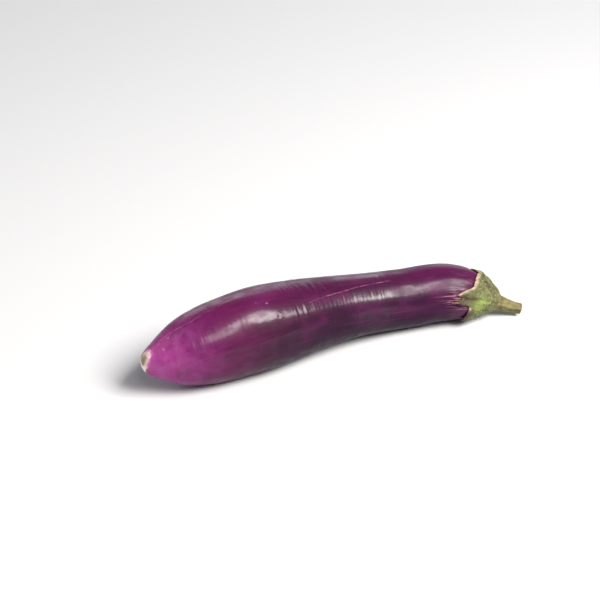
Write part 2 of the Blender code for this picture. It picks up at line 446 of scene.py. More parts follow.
class WaxedSkin(Finish):
    """Eggplant skin as grown: purple pigment under a thin clear wax.

    The pigment gives a deep colour that is redder and paler where the fruit grew last,
    at the flower's end, and the wax over it a soft gloss with a brighter, sharper core.
    """

    name = "eggplant_skin_waxed"
    place: Socket
    from_scar: Socket
    along_stops: Stops = (
        (0.00, "A0478B"),
        (0.06, "8A3374"),
        (0.13, "641B53"),
        (0.22, "4C1239"),
        (0.36, "360F29"),
        (0.52, "2E0E27"),
        (0.70, "2F0E28"),
        (0.86, "3B1132"),
        (1.00, "401638"),
    )
    scar_stops: Stops = (
        (0.00, "8C866C"),
        (0.24, "A29B83"),
        (0.36, "C6B7A6"),
        (0.45, "E0C0C0"),
        (0.58, "C893AE"),
        (0.76, "A8609A"),
        (1.00, "943E80"),
    )
    clouds: tuple[Tone, Tone] = ((0.48, 0.72, 0.35, "641A54"), (0.48, 0.28, 0.35, "240A20"))
    fibres: tuple[Tone, Tone] = ((0.54, 0.76, 0.14, "703060"), (0.46, 0.26, 0.20, "1C081A"))
    mottle = "A06A9E"
    # Painted light: a lighter magenta laid along the top side.
    painted_top_light_colour = "661552"
    # Painted shade: a near-black purple laid on the underside.
    deep = "1E0A22"
    shaded = "B98496"
    # Painted shadow: a dark line on the skin along the calyx's edge.
    painted_calyx_shadow: Tone = (1.2 * MM, 0.2 * MM, 0.6, "1C0A16")
    scratch = "B0688E"
    freckle: Tone = (0.7 * MM, 0.1 * MM, 0.38, "B27C9A")
    pit: Tone = (0.9 * MM, 0.3 * MM, 0.7, "3A0A26")
    dry_ring = "FFF2E6"

    def build(self) -> bpy.types.Material:
        """Builds the skin.

        Returns:
            The finished material.
        """
        self.place = self.add("Attribute", give="Vector", attribute_name="unbent")
        apart = self.add("VectorMath", {0: self.place, 1: SCAR_MIDDLE}, operation="SUBTRACT")
        apart = self.add("VectorMath", {0: apart, 1: SCAR_STRETCH}, operation="MULTIPLY")
        self.from_scar = self.add("VectorMath", {0: apart}, give="Value", operation="LENGTH")
        colour = self._pigment()
        colour = self._by_the_calyx(colour)
        colour = self._marks(colour)
        colour = self._scar(colour)
        # Wax worn unevenly, in patches of about 8 by 5 mm.
        patches = self.cells(self.place, (8, 5, 5), 5.0)
        roughness = self.add("MapRange", {0: patches, 1: 0.35, 2: 0.65, 3: 0.36, 4: 0.50}, **EASED)
        corky = self.add("MapRange", {0: self.from_scar, 1: 7 * MM, 2: 3 * MM, 4: 0.75}, **EASED)
        wax = self.add("MapRange", {0: patches, 1: 0.38, 2: 0.60, 3: 0.56, 4: 0.30}, **EASED)
        waxed = self.add("Attribute", give="Fac", attribute_name="waxed")
        wax = self.add("Math", {0: wax, 1: waxed}, operation="MULTIPLY")
        away = self.add("MapRange", {0: self.from_scar, 1: 4 * MM, 2: 9 * MM}, **EASED)
        # Pores and fine creases of about 1 mm, twice as coarse as real ones so that they show.
        fine = self.cells(self.place, (1.3, 0.9, 0.9), 4.0)
        links = {
            "Base Color": colour,
            "Roughness": self.add("Math", {0: roughness, 1: corky}, operation="MAXIMUM"),
            "Coat Weight": self.add("Math", {0: wax, 1: away}, operation="MULTIPLY"),
            "Coat Roughness": 0.18,
            "Coat IOR": 1.5,
            "Specular IOR Level": 0.12,
            "Normal": self.add("Bump", {"Height": fine, "Strength": 0.4, "Distance": 0.07 * MM}),
        }
        self.feed(self.shader, links)
        return self.material

    def _pigment(self) -> Socket:
        """The purple along the fruit, with clouds, lengthwise fibres, painted light on top and
        painted shade under.

        Returns:
            A colour.
        """
        along = self.add("SeparateXYZ", {0: self.place})
        along = self.add("MapRange", {0: along, 1: 0.0, 2: FruitForm.end_x})
        colour = self.add("ValToRGB", {0: along}, stops=self.along_stops)
        clouds = self.cells(self.place, (16, 11, 11), 5.0)
        colour = self.toned(colour, clouds, *self.clouds)
        # Paler, bluer mottling of about 5 mm on the young skin near the flower's end.
        mottling = self.cells(self.place, (5, 4, 4), 3.0)
        mottled = self.add("MapRange", {0: mottling, 1: 0.34, 2: 0.78, 4: 0.17}, **EASED)
        young = self.add("MapRange", {0: along, 1: 0.22, 2: 0.05}, **EASED)
        mottled = self.add("Math", {0: mottled, 1: young}, operation="MULTIPLY")
        colour = self.add("MixRGB", {0: mottled, 1: colour, 2: self.mottle})
        # Painted light along the top side.
        colour = self.stained(colour, "painted_top_light", self.painted_top_light_colour)
        # Painted shade on the underside.
        colour = self.stained(colour, "deep", self.deep)
        # Streaks that follow the growth, about 1.5 mm wide.
        fibres = self.cells(self.place, (36, 1.5, 1.5), 2.0)
        return self.toned(colour, fibres, *self.fibres)

    def _by_the_calyx(self, colour: Socket) -> Socket:
        """Pale pink streaks where the calyx shaded the skin while it grew, and a painted shadow line
        by it.

        Args:
            colour: the colour so far.

        Returns:
            The colour with them in it.
        """
        near = self.add("Attribute", give="Fac", attribute_name="from_calyx")
        fibres = self.cells(self.place, (20, 1.0, 1.0), 3.0)
        share = self.add("MapRange", {0: fibres, 1: 0.46, 2: 0.68, 4: 0.9}, **EASED)
        fade = self.add("MapRange", {0: near, 1: 18 * MM, 2: 0.0}, **EASED)
        share = self.add("Math", {0: share, 1: fade}, operation="MULTIPLY")
        by_sepals = self.add("Attribute", give="Fac", attribute_name="sepal_streaks")
        share = self.add("Math", {0: share, 1: by_sepals}, operation="MULTIPLY")
        colour = self.add("MixRGB", {0: share, 1: colour, 2: self.shaded})
        return self.toned(colour, near, self.painted_calyx_shadow)

    def _marks(self, colour: Socket) -> Socket:
        """Thin pale scratches, broken along their run, small pale freckles and a pore.

        Args:
            colour: the colour so far.

        Returns:
            The colour with them in it.
        """
        broken = self.cells(self.place, (5, 2, 2), 3.0)
        far = self.add("Attribute", give="Fac", attribute_name="from_scratch")
        line = self.add("MapRange", {0: far, 1: 0.55 * MM, 2: 0.1 * MM}, **EASED)
        kept = self.add("MapRange", {0: broken, 1: 0.38, 2: 0.64, 3: 0.10, 4: 0.52}, **EASED)
        share = self.add("Math", {0: line, 1: kept}, operation="MULTIPLY")
        colour = self.add("MixRGB", {0: share, 1: colour, 2: self.scratch})
        wander = self.add("MapRange", {0: broken, 1: 0.3, 2: 0.7, 3: -0.6 * MM, 4: 0.6 * MM})
        far = self.add("Attribute", give="Fac", attribute_name="from_freckle")
        far = self.add("Math", {0: far, 1: wander}, operation="ADD")
        colour = self.toned(colour, far, self.freckle)
        far = self.add("Attribute", give="Fac", attribute_name="from_pore")
        return self.toned(colour, far, self.pit)

    def _scar(self, colour: Socket) -> Socket:
        """The corky scar of the flower: a grey-green middle, a pale ring, then skin.

        Args:
            colour: the colour so far.

        Returns:
            The colour with the scar in it.
        """
        wander = self.cells(self.place, (2.2, 2.2, 2.2), 4.0)
        wander = self.add("MapRange", {0: wander, 1: 0.3, 2: 0.7, 3: -1.0 * MM, 4: 1.0 * MM})
        radius = self.add("Math", {0: self.from_scar, 1: wander}, operation="ADD")
        share = self.add("MapRange", {0: radius, 1: 0.0, 2: 10 * MM})
        cork = self.add("ValToRGB", {0: share}, stops=self.scar_stops)
        # The ring's lower half stands out further and has dried palest.
        height = self.add("SeparateXYZ", {0: self.place}, give="Z")
        low = self.add("MapRange", {0: height, 1: 4.0 * MM, 2: 0.0}, **EASED)
        outside = self.add("MapRange", {0: radius, 1: 2.6 * MM, 2: 4.0 * MM}, **EASED)
        inside = self.add("MapRange", {0: radius, 1: 7.0 * MM, 2: 4.8 * MM}, **EASED)
        ring = self.add("Math", {0: outside, 1: inside}, operation="MULTIPLY")
        ring = self.add("Math", {0: ring, 1: low}, operation="MULTIPLY")
        cork = self.add("MixRGB", {0: ring, 1: cork, 2: self.dry_ring})
        over = self.add("MapRange", {0: radius, 1: 8.5 * MM, 2: 4.8 * MM}, **EASED)
        return self.add("MixRGB", {0: over, 1: colour, 2: cork})


class GreenTissue(Finish):
    """Bark of the stalk and its collar: olive tissue over fibres, dull as leather."""

    ior = 1.42
    bark_stops: Stops = ((0.0, "46432A"), (0.40, "605C38"), (0.70, "757047"), (1.0, "8B8558"))
    bark_fibres: tuple[Tone, Tone] = ((0.52, 0.74, 0.55, "97906A"), (0.47, 0.26, 0.6, "2F2B1A"))

    def bark(self, place: Socket) -> Socket:
        """The stalk's colour.

        Args:
            place: the place on a straight fruit.

        Returns:
            A colour.
        """
        blotches = self.cells(place, (4, 2.2, 2.2), 5.0)
        share = self.add("MapRange", {0: blotches, 1: 0.28, 2: 0.72})
        colour = self.add("ValToRGB", {0: share}, stops=self.bark_stops)
        fibres = self.cells(place, (8, 0.6, 0.6), 3.0)
        return self.toned(colour, fibres, *self.bark_fibres)


class LeatheryCalyx(GreenTissue):
    """Calyx of a picked eggplant: thick green tissue with a corky cream edge, partly painted light
    where lit.

    It scatters light like leather, its drying edges turn tan and brown, and its furrow gets painted
    shade.
    """

    name = "calyx_green_leathery"
    leaf_stops: Stops = ((0.0, "302F1C"), (0.35, "484929"), (0.60, "585B38"), (1.0, "74764E"))
    leaf_fibres: tuple[Tone, Tone] = ((0.54, 0.76, 0.4, "8E8862"), (0.46, 0.26, 0.5, "2E2A18"))
    fresh = "889A4C"
    wart = "808462"
    # Dark brown of dry tissue, also laid as painted shade in the furrow.
    dried_and_crease_shade = "3B2A22"
    # Cream of the corky edge, also laid as painted light where the edge is lit.
    cream_and_lit_edge = "AE9A82"

    def build(self) -> bpy.types.Material:
        """Builds the calyx's tissue.

        Returns:
            The finished material.
        """
        place = self.add("Attribute", give="Vector", attribute_name="unbent")
        blotches = self.cells(place, (4.5, 3.5, 3.5), 6.0)
        share = self.add("MapRange", {0: blotches, 1: 0.28, 2: 0.72})
        colour = self.add("ValToRGB", {0: share}, stops=self.leaf_stops)
        colour = self.stained(colour, "fresh", self.fresh)
        colour = self.stained(colour, "warts", self.wart)
        fibres = self.cells(place, (9, 0.7, 0.7), 3.0)
        colour = self.toned(colour, fibres, *self.leaf_fibres)
        colour = self.stained(colour, "stalky", self.bark(place))
        # Dry brown edges, and painted shade in the furrow.
        colour = self.stained(colour, "dried_and_crease_shade", self.dried_and_crease_shade)
        corky = self.cells(place, (1.8, 1.1, 1.1), 3.0)
        kept = self.add("MapRange", {0: corky, 1: 0.34, 2: 0.58, 3: 0.25, 4: 1.0}, **EASED)
        # The corky cream edge, partly painted light where the edge is lit.
        cream_and_lit_edge = self.add("Attribute", give="Fac", attribute_name="cream_and_lit_edge")
        share = self.add("Math", {0: cream_and_lit_edge, 1: kept}, operation="MULTIPLY")
        colour = self.add("MixRGB", {0: share, 1: colour, 2: self.cream_and_lit_edge})
        grains = self.cells(place, (0.9, 0.6, 0.6), 5.0)
        dull = self.add("MapRange", {0: blotches, 1: 0.3, 2: 0.7, 3: 0.48, 4: 0.66}, **EASED)
        links = {
            "Base Color": colour,
            "Roughness": dull,
            "Specular IOR Level": 0.35,
            "Normal": self.add("Bump", {"Height": grains, "Strength": 0.7, "Distance": 0.25 * MM}),
        }
        self.feed(self.shader, links)
        return self.material


class FibrousStem(GreenTissue):
    """Cut stalk of an eggplant: olive bark, paler along its ridges, and a dry cut face."""

    name = "stem_olive_fibrous"
    ridge: Tone = (0.2, 1.0, 0.4, "938C62")
    wood_stops: Stops = ((0.0, "6A5C3C"), (1.0, "968A63"))
    pith = "574A32"

    def build(self) -> bpy.types.Material:
        """Builds the stalk's bark and its cut face.

        Returns:
            The finished material.
        """
        place = self.add("Attribute", give="Vector", attribute_name="unbent")
        ridge = self.add("Attribute", give="Fac", attribute_name="ridge")
        colour = self.toned(self.bark(place), ridge, self.ridge)
        grains = self.cells(place, (1.4, 0.5, 0.5), 5.0)
        share = self.add("MapRange", {0: grains, 1: 0.3, 2: 0.7})
        wood = self.add("ValToRGB", {0: share}, stops=self.wood_stops)
        wood = self.stained(wood, "pith", self.pith)
        dull = self.add("MapRange", {0: grains, 1: 0.3, 2: 0.7, 3: 0.52, 4: 0.74}, **EASED)
        links = {
            "Base Color": self.stained(colour, "cut", wood),
            "Roughness": dull,
            "Specular IOR Level": 0.35,
            "Normal": self.add("Bump", {"Height": grains, "Strength": 0.7, "Distance": 0.22 * MM}),
        }
        self.feed(self.shader, links)
        return self.material


class TablePaint(Finish):
    """Matt painted board: a pale grey that studio light turns almost white."""

    name = "table_board_matt_paint"
    ior = 1.5
    paint = "D4D8DA"

    def build(self) -> bpy.types.Material:
        """Builds the paint, with the faint unevenness of a rolled coat.

        Returns:
            The finished material.
        """
        place = self.add("TexCoord", give="Object")
        # The roller's texture has 900 cells to the metre, so each is about 1.1 mm.
        rolled = self.add("TexNoise", {0: place, "Scale": 900.0, "Detail": 2.0})
        links = {
            "Base Color": self.paint,
            "Roughness": self.add("MapRange", {0: rolled, 1: 0.3, 2: 0.7, 3: 0.85, 4: 0.95}),
            "Specular IOR Level": 0.15,
        }
        self.feed(self.shader, links)
        return self.material


@dataclass(frozen=True)
class FruitForm:
    """The fruit's plain form, which the calyx also follows."""

    spine: Spine
    end_x: float = 0.2205
    # Places along the fruit, each with its radius.
    outline: Pairs = (
        (-0.0014, 0.0000),
        (-0.0012, 0.0030),
        (0.0001, 0.0056),
        (0.0030, 0.0081),
        (0.0086, 0.0116),
        (0.0215, 0.0184),
        (0.0390, 0.0228),
        (0.0560, 0.0244),
        (0.0730, 0.0251),
        (0.0950, 0.0234),
        (0.1160, 0.0211),
        (0.1380, 0.0194),
        (0.1630, 0.0188),
        (0.1880, 0.0183),
        (0.2010, 0.0175),
        (0.2080, 0.0162),
        (0.2140, 0.0134),
        (0.2180, 0.0094),
        (0.2200, 0.0048),
        (0.2205, 0.0000),
    )
    # The section's waves: how many go round it, their depth as a share, and where they start.
    waves: tuple[tuple[int, float, float], ...] = (
        (2, 0.010, 0.6),
        (3, 0.007, 2.1),
        (5, 0.004, 0.3),
    )
    waves_turn: float = 4.0

    def radius(self, x: np.ndarray) -> np.ndarray:
        """The mean radius at each place along the fruit."""
        xs, radii = along_outline(self.outline, 400)
        return np.interp(x, xs, radii)

    def roundness(self, x: np.ndarray, angle: np.ndarray) -> np.ndarray:
        """How much larger than a circle the section is at each angle.

        Args:
            x: places along the fruit.
            angle: turns round it.

        Returns:
            Shares of the mean radius.
        """
        turn = self.waves_turn * x / self.end_x
        waves = (deep * np.cos(count * angle + start + turn) for count, deep, start in self.waves)
        return 1 + sum(waves)


@dataclass(frozen=True)
class StemForm:
    """The stalk's form, which the calyx's collar runs into."""

    start_x: float = 0.2300
    end_x: float = 0.2420
    radii: tuple[float, float, float] = (0.0045, 0.0036, 0.0034)
    ridges: int = 5
    ridge_share: float = 0.07
    twist: float = math.radians(35)
    coarse_bark: float = 0.25 * MM
    coarse_cell: float = 2.4 * MM
    fine_bark: float = 0.22 * MM
    fine_cell: Size = (3 * MM, 1.0 * MM, 1.0 * MM)

    def ridge(self, x: np.ndarray, angle: np.ndarray) -> np.ndarray:
        """1 on a ridge and -1 between two, with a slight twist along the stalk."""
        share = (x - self.start_x) / (self.end_x - self.start_x)
        return np.cos(self.ridges * angle + self.twist * share)

    def radius(self, x: np.ndarray, angle: np.ndarray) -> np.ndarray:
        """The stalk's radius, with its ridges and the roughness of its bark.

        Args:
            x: places along the fruit.
            angle: turns round it.

        Returns:
            Radii in metres.
        """
        x = np.clip(x, self.start_x - 5 * MM, self.end_x)
        stations = np.linspace(self.start_x, self.end_x, 3)
        plain = through(stations, np.array(self.radii), np.maximum(x, self.start_x))
        plain, x, angle = np.broadcast_arrays(plain, x, angle)
        ridged = plain * (1 + self.ridge_share * self.ridge(x, angle))
        where = unbend(x, angle, ridged)
        rough = self.fine_bark * grain(where, self.fine_cell, 1.0)
        return ridged + rough + self.coarse_bark * grain(where, self.coarse_cell, 2.0)


@dataclass
class Fruit:
    """The fruit's skin, with the unevenness that breaks up its gloss."""

    form: FruitForm
    calyx_edge: tuple[np.ndarray, np.ndarray]
    rows: int = 520
    columns: int = 190
    # The skin's unevenness, from coarse to fine, and how large the cells of each are.
    lump_height: float = 0.35 * MM
    lump_cell: Size = (45 * MM, 20 * MM, 20 * MM)
    facet_height: float = 0.12 * MM
    facet_cell: Size = (60 * MM, 7 * MM, 7 * MM)
    ripple_height: float = 0.13 * MM
    ripple_cell: Size = (1.6 * MM, 15 * MM, 15 * MM)
    ripple_patch: Size = (20 * MM, 13 * MM, 13 * MM)
    # Where the crosswise ripples are strong: the middle of the stretch and its half length.
    rippled: tuple[float, float] = (0.115, 0.032)
    rippled_belly: Patch = Patch(0.040, 0.020, Strip(45, 30, 1.1))
    # Where the fruit is a little fuller than its plain form, which bends its gloss.
    swellings: tuple[Patch, ...] = (
        Patch(0.070, 0.020, Strip(43, 9, 0.25 * MM)),
        Patch(0.046, 0.030, Strip(18, 26, 0.7 * MM)),
        Patch(0.062, 0.013, Strip(20, 24, 1.4 * MM)),
        Patch(0.147, 0.016, Strip(63, 14, 0.25 * MM)),
    )
    # Shallow lengthwise flutes at the neck.
    flutes: int = 11
    flute_height: float = 0.18 * MM
    # How softly the flat spot underneath ends.
    flat_softness: float = 0.15 * MM
    # Marks are given by their place along the fruit and their angle.
    pore: tuple[float, float] = (0.0770, 46)
    radius_at_pore: float = 25 * MM
    pore_rings: Rings = ((0.08 * MM, 1.6 * MM, 0.8 * MM), (-0.22 * MM, 0.0, 0.9 * MM))
    scar_rings: Rings = ((0.22 * MM, 5.0 * MM, 1.1 * MM), (-0.30 * MM, 0.0, 3.2 * MM))
    # The scar's rough cork, and the fine creases that ring it.
    cork_height: float = 0.14 * MM
    cork_cell: float = 0.9 * MM
    crease_height: float = 0.05 * MM
    crease_width: float = 0.5 * MM
    scratches: tuple[Pairs, ...] = (
        ((0.098, 38), (0.109, 33), (0.124, 29), (0.132, 25), (0.140, 23), (0.157, 19)),
        ((0.010, -1), (0.018, 3), (0.029, 7), (0.036, 5), (0.048, 2), (0.061, -2), (0.070, -3)),
    )
    freckles: Pairs = (
        (0.0087, 5),
        (0.0098, 29),
        (0.0125, -11),
        (0.0146, 11),
        (0.0671, 20),
        (0.0731, 25),
    )
    # How much wax is left, as a share of the usual, at places along the fruit, and what that is
    # multiplied by on the back.
    wax_along: Pairs = (
        (0.020, 0.70),
        (0.030, 1.00),
        (0.045, 1.25),
        (0.058, 0.98),
        (0.072, 1.00),
        (0.080, 0.85),
        (0.092, 0.75),
        (0.100, 0.55),
        (0.112, 0.35),
        (0.122, 0.35),
        (0.132, 1.30),
        (0.150, 1.50),
        (0.157, 0.80),
        (0.161, 0.35),
        (0.166, 0.70),
        (0.182, 0.38),
        (0.205, 0.30),
    )
    back_wax_along: Pairs = (
        (0.050, 0.70),
        (0.080, 0.75),
        (0.098, 1.80),
        (0.120, 2.40),
        (0.135, 1.00),
    )
    # Strips with other wax, then painted top light and painted underside shade, and pale streaks.
    back: Strip = Strip(-34, 26)
    low_front: Strip = Strip(116, 32, 0.75)
    underside: Strip = Strip(147, 62, 0.95)
    painted_top_light: Strip = Strip(6, 32, 0.42)
    deep: Strip = Strip(142, 65, 0.95)
    streaks_all_round: float = 0.10
    streaked: tuple[Strip, Strip] = (Strip(72, 22, 0.90), Strip(265, 40, 0.40))

    def build(self) -> bpy.types.Object:
        """Builds the skin as fine rings.

        Returns:
            The skin's object.
        """
        xs, radii = along_outline(self.form.outline, self.rows + 2)
        angle = np.linspace(0, math.tau, self.columns, endpoint=False)[None, :]
        plain = radii[1:-1, None] * self.form.roundness(xs[1:-1, None], angle)
        x, angle = np.broadcast_arrays(xs[1:-1, None], angle)
        place = unbend(x, angle, plain)
        rings = self.form.spine.at_angle(x, angle, plain + self._relief(x, angle, place))
        rings[..., 2] = self._rest(rings[..., 2])
        degrees, edges = self.calyx_edge
        # The tip is pale by itself, so painted top light and painted shade start behind it and fade
        # further on.
        past_tip = rise(0.020, 0.050, x) * (1 - 0.4 * rise(0.080, 0.115, x))
        past_belly = rise(0.030, 0.085, x) * (1 - 0.5 * rise(0.180, 0.205, x))
        streaked = sum(strip.over(angle) for strip in self.streaked)
        values = {
            "unbent": place,
            "from_calyx": np.interp(np.degrees(angle), degrees, edges, period=360) - x,
            "sepal_streaks": self.streaks_all_round + streaked,
            # Painted light along the top.
            "painted_top_light": self.painted_top_light.over(angle) * past_tip,
            # Painted shade underneath.
            "deep": self.deep.over(angle) * past_belly,
            "waxed": self._wax(x, angle),
            "from_scratch": self._from_marks(x, angle, plain, self.scratches),
            "from_freckle": self._from_marks(x, angle, plain, tuple((f, f) for f in self.freckles)),
            "from_pore": self._from_marks(x, angle, plain, ((self.pore, self.pore),)),
        }
        ends = self.form.spine.points(xs[[0, -1]])
        return RingMesh("fruit_skin", rings, ends[0], ends[1], values).build()

    def _wax(self, x: np.ndarray, angle: np.ndarray) -> np.ndarray:
        """Finds how much wax is left: least underneath, and little on the lower front of the neck.

        Args:
            x: places along the fruit.
            angle: turns round it.

        Returns:
            Shares of the usual wax, from 0 up.
        """
        along = np.interp(x, *zip(*self.wax_along))
        back = 1 + (np.interp(x, *zip(*self.back_wax_along)) - 1) * self.back.over(angle)
        # The lower front has lost most of its wax from where the belly ends.
        low_front = self.low_front.over(angle) * rise(0.070, 0.095, x)
        return along * back * (1 - low_front) * (1 - self.underside.over(angle))

    def _rest(self, height: np.ndarray) -> np.ndarray:
        """Presses the underside flat against the table, with a soft edge to the flat spot."""
        return 0.5 * (height + np.sqrt(height**2 + self.flat_softness**2))

    def _relief(self, x: np.ndarray, angle: np.ndarray, place: np.ndarray) -> np.ndarray:
        """The skin's height over the plain form.

        Args:
            x: places along the fruit.
            angle: turns round it.
            place: the same points on a straight fruit.

        Returns:
            Heights in metres.
        """
        lumps = self.lump_height * grain(place, self.lump_cell, 1.0)
        facets = self.facet_height * grain(place, self.facet_cell, 2.0)
        patches = 0.25 + rise(-0.25, 0.45, grain(place, self.ripple_patch, 3.0))
        middle, width = self.rippled
        strong = 0.30 + hump(x - middle, width) + self.rippled_belly.over(x, angle)
        ripples = grain(place, self.ripple_cell, 4.0) * patches * strong
        swellings = sum(swelling.over(x, angle) for swelling in self.swellings)
        flutes = self.flute_height * np.cos(self.flutes * angle + 0.4) * rise(0.175, 0.212, x)
        relief = lumps + facets + self.ripple_height * ripples + swellings + flutes
        return relief + self._details(x, angle, place)

    def _details(self, x: np.ndarray, angle: np.ndarray, place: np.ndarray) -> np.ndarray:
        """The pore's pit with its rim, and the scar's cork and ring.

        Args:
            x: places along the fruit.
            angle: turns round it.
            place: the same points on a straight fruit.

        Returns:
            Heights in metres.
        """
        round_it = np.radians(turn_from(angle, self.pore[1])) * self.radius_at_pore
        from_pore = np.hypot(x - self.pore[0], round_it)
        pore = sum(height * hump(from_pore - at, wide) for height, at, wide in self.pore_rings)
        scar = np.linalg.norm((place - SCAR_MIDDLE) * SCAR_STRETCH, axis=-1)
        rings = sum(height * hump(scar - at, wide) for height, at, wide in self.scar_rings)
        cork = self.cork_height * grain(place, self.cork_cell, 5.0) * rise(7 * MM, 4 * MM, scar)
        creases = self.crease_height * np.cos(scar / self.crease_width)
        return pore + rings + cork + creases * rise(8 * MM, 5 * MM, scar)

    @staticmethod
    def _from_marks(
        x: np.ndarray, angle: np.ndarray, radius: np.ndarray, marks: tuple[Pairs, ...]
    ) -> np.ndarray:
        """The distance over the skin to the nearest mark.

        Args:
            x: places along the fruit.
            angle: turns round it.
            radius: the fruit's radius there.
            marks: lines of places, each with its angle in degrees.

        Returns:
            Distances in metres, at most 9 mm.
        """
        nearest = np.full(x.shape, 9 * MM)
        for mark in marks:
            for (x0, a0), (x1, a1) in zip(mark, mark[1:]):
                dx, dy = x - x0, np.radians(turn_from(angle, a0)) * radius
                lx, ly = x1 - x0, math.radians(a1 - a0) * radius
                share = np.clip((dx * lx + dy * ly) / np.maximum(lx**2 + ly**2, 1e-12), 0, 1)
                nearest = np.minimum(nearest, np.hypot(dx - share * lx, dy - share * ly))
        return nearest


@dataclass(frozen=True)
class CalyxColumns:
    """Columns of points that run from the calyx's edge to its collar.

    Each has its turn in degrees, the place of its edge along the fruit, how near it is to
    the tip of a sepal, from 0 to 1, and how far that tip lifts.
    """

    degrees: np.ndarray
    edge: np.ndarray
    near: np.ndarray
    lift: np.ndarray

    @property
    def angle(self) -> np.ndarray:
        """The turns in radians, as one row."""
        return np.radians(self.degrees)[None, :]


@dataclass
class Calyx:
    """The cap of sepals that clasps the fruit's thin end."""

    form: FruitForm
    stalk: StemForm
    collar_x: float = 0.2300
    # Places along the calyx's cap, each with its radius.
    cap_outline: Pairs = (
        (0.2100, 0.0172),
        (0.2140, 0.0152),
        (0.2180, 0.0128),
        (0.2220, 0.0101),
        (0.2260, 0.0076),
        (0.2300, 0.0046),
    )
    # Each sepal's angle, the place of its tip and how far the tip lifts, then the notch after each.
    sepals: tuple[tuple[float, float, float], ...] = (
        (-40, 0.2112, 0.0001),
        (65, 0.1994, 0.0004),
        (79, 0.1962, 0.0003),
        (128, 0.2064, 0.0012),
        (206, 0.2030, 0.0004),
        (270, 0.2010, 0.0011),
    )
    notches: Pairs = (
        (8, 0.2122),
        (72, 0.2035),
        (91, 0.2090),
        (170, 0.2120),
        (240, 0.2115),
        (294, 0.2130),
    )
    # Where round the calyx its edge moves along the fruit, over how wide a turn, and how far.
    wavers: tuple[Strip, ...] = (
        Strip(24, 9, -1.0 * MM),
        Strip(47, 8, 1.6 * MM),
        Strip(-8, 9, 1.2 * MM),
    )
    # How sharply a sepal narrows to its tip: 1 gives straight flanks, more gives hollow ones.
    taper: float = 2.6
    ragged: float = 0.45 * MM
    ragged_cell: float = 2.2 * MM
    radius_at_edge: float = 16 * MM
    thickness: float = 1.4 * MM
    edge_thickness: float = 0.8 * MM
    edge_width: float = 4 * MM
    gap: float = 0.3 * MM
    columns_per_flank: int = 34
    rows: int = 90
    rows_crowding: float = 1.15
    lining_rows: int = 24
    # How far in from a tip its lift reaches, and how the collar closes round the stalk.
    curl_length: float = 10 * MM
    collar_rim: float = 0.12 * MM
    collar_tuck: float = 0.5 * MM
    # The tissue's relief, and how large the cells of its unevenness are.
    lump_height: float = 0.45 * MM
    lump_cell: float = 4.5 * MM
    wrinkle_height: float = 0.22 * MM
    wrinkle_cell: Size = (3.0 * MM, 1.1 * MM, 1.1 * MM)
    wart_height: float = 0.45 * MM
    wart_cell: float = 1.25 * MM
    rib_height: float = 0.7 * MM
    rib_turn: float = 7
    furrow_depth: float = 0.7 * MM
    furrow: Strip = Strip(72, 6)
    knob_height: float = 0.9 * MM
    knob: tuple[float, float] = (0.2152, -14)
    knob_width: float = 2.6 * MM
    radius_at_knob: float = 14 * MM
    # Strips and a patch whose tissue is creamy at the edge, dried or fresh; the edge's cream is
    # partly painted light.
    upper_front: Strip = Strip(28, 34)
    front_tip: Strip = Strip(59, 9)
    back_tip: Strip = Strip(-34, 24, 0.6)
    long_tip: Strip = Strip(80, 6, 0.8)
    low_front: Strip = Strip(116, 24, 0.7)
    curled: Strip = Strip(93, 9)
    fresh: Patch = Patch(0.2152, 0.0050, Strip(82, 21, 0.9))

    def columns(self) -> CalyxColumns:
        """Lays columns round the calyx, from notch to tip to notch.

        Returns:
            The columns, in order.
        """
        found: list[tuple[float, float, float, float]] = []
        for i, (tip_angle, tip_x, lift) in enumerate(self.sepals):
            before, after = self.notches[i - 1], self.notches[i]
            start = before[0] - 360 if before[0] > tip_angle else before[0]
            flanks = ((start, before[1], True), (*after, False))
            for notch_angle, notch_x, rising in flanks:
                for step in range(self.columns_per_flank):
                    share = step / self.columns_per_flank
                    share = share if rising else 1 - share
                    near = share**self.taper
                    angle = notch_angle + (tip_angle - notch_angle) * share
                    found.append((angle, notch_x + (tip_x - notch_x) * near, near, lift))
        degrees, edge, near, lift = (np.array(column) for column in zip(*found))
        turns = np.radians(degrees)
        edge = edge + sum(waver.over(turns) for waver in self.wavers)
        place = unbend(edge, turns, np.full(edge.shape, self.radius_at_edge))
        ragged = self.ragged * grain(place, self.ragged_cell, 6.0)
        return CalyxColumns(degrees, edge + ragged * (1 - near), near, lift)

    def edge(self) -> tuple[np.ndarray, np.ndarray]:
        """Reads the edge all round.

        Returns:
            The angles round the calyx, rising from 0, and the places of its edge there.
        """
        columns = self.columns()
        degrees = columns.degrees % 360
        order = np.argsort(degrees)
        return degrees[order], columns.edge[order]

    def build(self) -> bpy.types.Object:
        """Builds the calyx from the middle of its lining, round its edge, to the collar.

        Returns:
            The calyx's object.
        """
        columns = self.columns()
        edge = columns.edge
        ways_in = np.sin(np.linspace(0, math.pi / 2, self.lining_rows))[:, None]
        ways_out = (np.linspace(0, 1, self.rows) ** self.rows_crowding)[:, None]
        lining_x = edge + (self.form.end_x - 2 * self.gap - edge) * ways_in
        outside_x = edge + (self.collar_x - edge) * ways_out
        inner = self._inner(lining_x, columns)
        outer, warts = self._outer(outside_x, columns)
        rim_radius = (inner[:1] + outer[:1]) / 2
        rim_x = edge[None, :] - self.gap
        x = np.concatenate([lining_x[::-1], rim_x, outside_x])
        radius = np.concatenate([inner[::-1], rim_radius, outer])
        values = self._tints(x, radius, columns)
        values["warts"] = np.concatenate([np.zeros((self.lining_rows + 1, edge.size)), warts])
        spine = self.form.spine
        rings = spine.at_angle(x, columns.angle, radius)
        ends = spine.points(np.array((self.form.end_x + self.gap, self.collar_x)))
        return RingMesh("calyx_sepals", rings, ends[0], ends[1], values).build()

